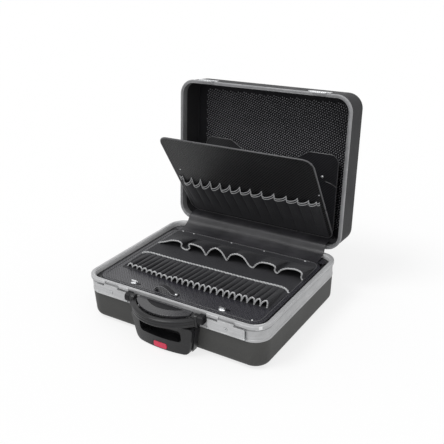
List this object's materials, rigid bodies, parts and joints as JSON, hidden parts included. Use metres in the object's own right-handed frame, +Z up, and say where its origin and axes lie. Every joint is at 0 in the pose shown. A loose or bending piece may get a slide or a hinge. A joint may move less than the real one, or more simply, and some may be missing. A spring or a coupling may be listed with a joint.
{
  "type": "rolling tool case",
  "caption": "Hard rolling tool case lying open: moulded shells in aluminium frames, latches, carry handle, telescopic grip, wheels, lifting tool board in the base and tilting tool board in the lid.",
  "frame": {"origin": "the middle of the base's footprint, on the floor that its four feet rest on", "axes": "+X to the right as seen from the latches, +Y from the latches to the hinges, +Z up from the floor"},
  "size_m": [0.4948, 0.5809, 0.5081],
  "materials": {
    "shell_plastic": "fine moulded texture",
    "frame_aluminium": "satin anodised",
    "foot_rubber": "matt",
    "tyre_rubber": "matt",
    "black_plastic": "matt moulded",
    "grey_plastic": "matt moulded",
    "red_plastic": "smooth",
    "steel": "plated",
    "board_lining": "carbon-look vinyl",
    "fabric": "woven nylon",
    "foam": "dotted foam"
  },
  "bodies": {
    "base": {"base_shell": "shell_plastic", "base_frame": "frame_aluminium", "foot_front_left": "foot_rubber", "foot_front_right": "foot_rubber", "foot_back_left": "foot_rubber", "foot_back_right": "foot_rubber", "wheel_housing_left": "black_plastic", "wheel_housing_right": "black_plastic", "wheel_axle_left": "steel", "wheel_axle_right": "steel", "hinge_leaf_base_left": "steel", "hinge_leaf_base_right": "steel", "hinge_pin_left": "steel", "hinge_pin_right": "steel", "latch_back_left": "steel", "latch_back_right": "steel", "handle_console": "grey_plastic", "console_inlay": "black_plastic", "handle_block_left": "black_plastic", "handle_block_right": "black_plastic", "trolley_housing": "black_plastic", "tube_guide_left": "steel", "tube_guide_right": "steel", "base_floor": "board_lining", "board_ledge": "black_plastic", "hinge_cover": "fabric"},
    "lid": {"lid_shell": "shell_plastic", "lid_frame": "frame_aluminium", "lid_bumper_left": "foot_rubber", "lid_bumper_right": "foot_rubber", "hinge_leaf_lid_left": "steel", "hinge_leaf_lid_right": "steel", "striker_left": "steel", "striker_right": "steel", "lid_liner": "foam", "document_pouch": "board_lining", "board_bracket": "black_plastic"},
    "lid_board": {"lid_board": "board_lining", "lid_pockets": "fabric"},
    "base_board": {"base_board": "board_lining", "tool_loops": "fabric", "large_pockets": "fabric", "pull_strap": "fabric"},
    "turn_knob_left": {"turn_knob_left": "steel"},
    "turn_knob_right": {"turn_knob_right": "steel"},
    "latch_left": {"latch_flap_left": "frame_aluminium"},
    "latch_right": {"latch_flap_right": "frame_aluminium"},
    "lock_left": {"lock_cylinder_left": "steel"},
    "lock_right": {"lock_cylinder_right": "steel"},
    "carry_handle": {"carry_handle": "black_plastic"},
    "middle_tubes": {"tube_middle_left": "steel", "tube_middle_right": "steel"},
    "grip": {"trolley_grip": "black_plastic", "tube_inner_left": "steel", "tube_inner_right": "steel"},
    "release_button": {"release_button": "red_plastic"},
    "wheel_left": {"wheel_hub_left": "grey_plastic", "wheel_tyre_left": "tyre_rubber"},
    "wheel_right": {"wheel_hub_right": "grey_plastic", "wheel_tyre_right": "tyre_rubber"}
  },
  "joints": [
    {"name": "lid_hinge", "type": "hinge", "parent": "base", "child": "lid", "pos_m": [0, 0.1998, 0.1122], "axis": [1, 0, 0], "range_deg": [0, 95.5], "deforming": ["hinge_cover"]},
    {"name": "lid_board_hinge", "type": "hinge", "parent": "lid", "child": "lid_board", "pos_m": [0, 0.2307, 0.1369], "axis": [1, 0, 0], "range_deg": [-35.6, 0]},
    {"name": "base_board_lift", "type": "hinge", "parent": "base", "child": "base_board", "pos_m": [0, 0.15, 0.104], "axis": [1, 0, 0], "range_deg": [-60, 0]},
    {"name": "turn_knob_left_turn", "type": "hinge", "parent": "base_board", "child": "turn_knob_left", "pos_m": [-0.123, -0.156, 0.104], "axis": [0, 0, 1], "range_deg": [0, 90]},
    {"name": "turn_knob_right_turn", "type": "hinge", "parent": "base_board", "child": "turn_knob_right", "pos_m": [0.123, -0.156, 0.104], "axis": [0, 0, 1], "range_deg": [0, 90]},
    {"name": "latch_left_open", "type": "hinge", "parent": "base", "child": "latch_left", "pos_m": [-0.1585, -0.1973, 0.079], "axis": [1, 0, 0], "range_deg": [0, 85]},
    {"name": "latch_right_open", "type": "hinge", "parent": "base", "child": "latch_right", "pos_m": [0.1585, -0.1973, 0.079], "axis": [1, 0, 0], "range_deg": [0, 85]},
    {"name": "lock_left_turn", "type": "hinge", "parent": "latch_left", "child": "lock_left", "pos_m": [-0.1585, -0.1988, 0.0905], "axis": [0, 1, 0], "range_deg": [0, 90]},
    {"name": "lock_right_turn", "type": "hinge", "parent": "latch_right", "child": "lock_right", "pos_m": [0.1585, -0.1988, 0.0905], "axis": [0, 1, 0], "range_deg": [0, 90]},
    {"name": "carry_handle_swing", "type": "hinge", "parent": "base", "child": "carry_handle", "pos_m": [0, -0.204, 0.1], "axis": [1, 0, 0], "range_deg": [-85, 0]},
    {"name": "middle_tubes_slide", "type": "slide", "parent": "base", "child": "middle_tubes", "axis": [0, -1, 0], "range_m": [0, 0.25]},
    {"name": "grip_slide", "type": "slide", "parent": "middle_tubes", "child": "grip", "axis": [0, -1, 0], "range_m": [0, 0.25]},
    {"name": "release_button_press", "type": "slide", "parent": "grip", "child": "release_button", "axis": [0, 1, 0], "range_m": [0, 0.003], "stiffness_N_per_m": 400, "springref_m": -0.002},
    {"name": "wheel_left_spin", "type": "hinge", "parent": "base", "child": "wheel_left", "pos_m": [-0.196, 0.1785, 0.026], "axis": [1, 0, 0], "continuous": true},
    {"name": "wheel_right_spin", "type": "hinge", "parent": "base", "child": "wheel_right", "pos_m": [0.196, 0.1785, 0.026], "axis": [1, 0, 0], "continuous": true}
  ],
  "couplings": [
    {"joint": "lid_board_hinge", "follows": "lid_hinge", "ratio": -0.3717}
  ]
}
